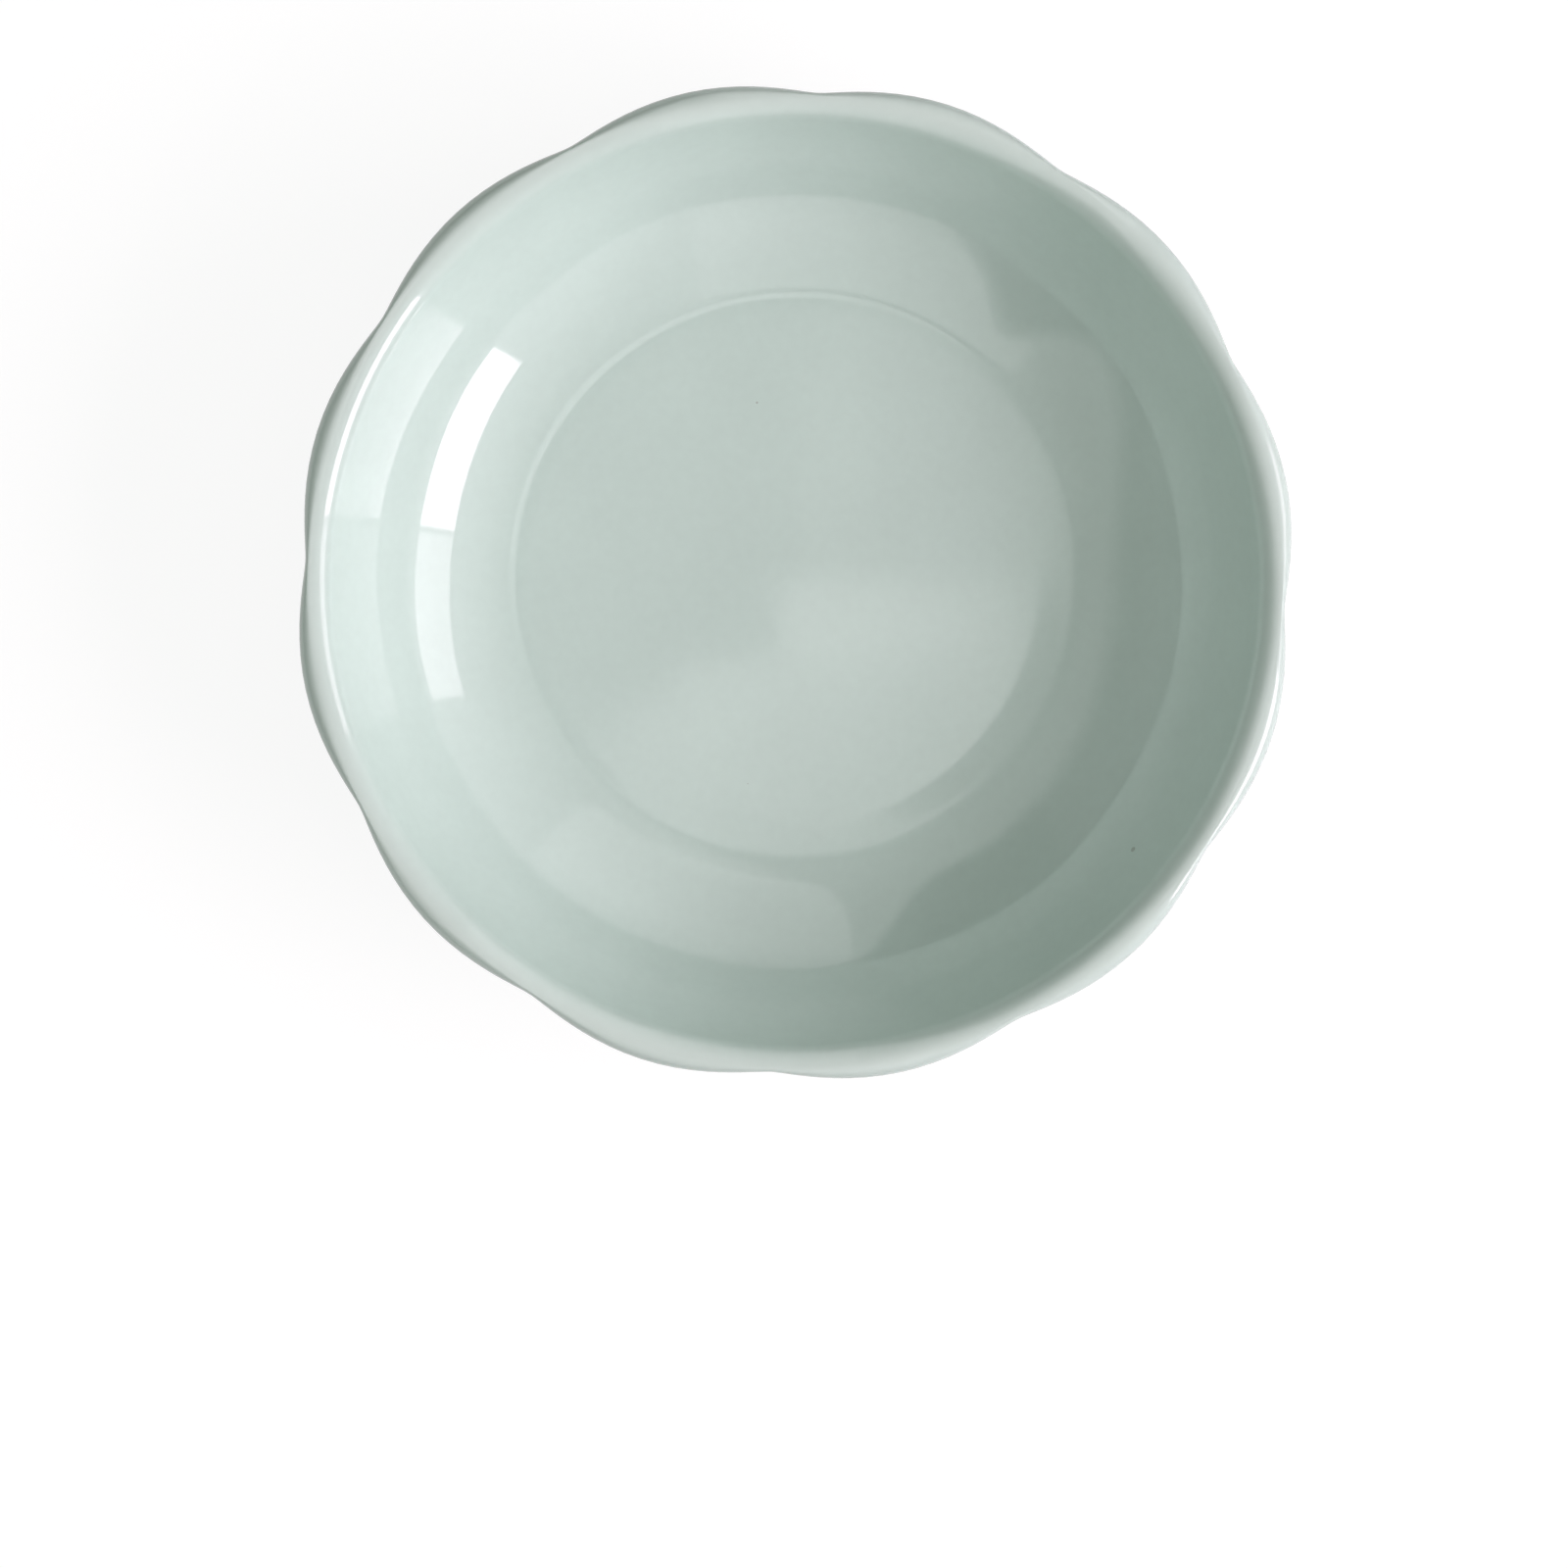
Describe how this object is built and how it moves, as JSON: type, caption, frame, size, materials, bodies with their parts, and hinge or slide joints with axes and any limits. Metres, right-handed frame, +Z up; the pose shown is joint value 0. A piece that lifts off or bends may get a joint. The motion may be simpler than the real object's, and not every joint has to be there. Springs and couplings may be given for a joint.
{
  "type": "soy sauce dish",
  "caption": "Small round celadon-glazed stoneware sauce dish with a smooth bowl, a lobed outer wall and a low foot ring.",
  "frame": {"origin": "centre of the circle on which the foot ring stands, at table height", "axes": "+Z up along the dish's axis; +X through the crest of a lobe"},
  "size_m": [0.102, 0.102, 0.0227],
  "materials": {
    "body_clay": "fired, unglazed, matt",
    "foot_clay": "fired, wiped bare, fine matt grain",
    "celadon_glaze": "glossy pale grey-green glaze"
  },
  "bodies": {
    "root": {"clay_body": "body_clay", "foot_ring": "foot_clay", "inside_glaze": "celadon_glaze", "outside_glaze": "celadon_glaze", "base_glaze": "celadon_glaze"}
  },
  "joints": []
}
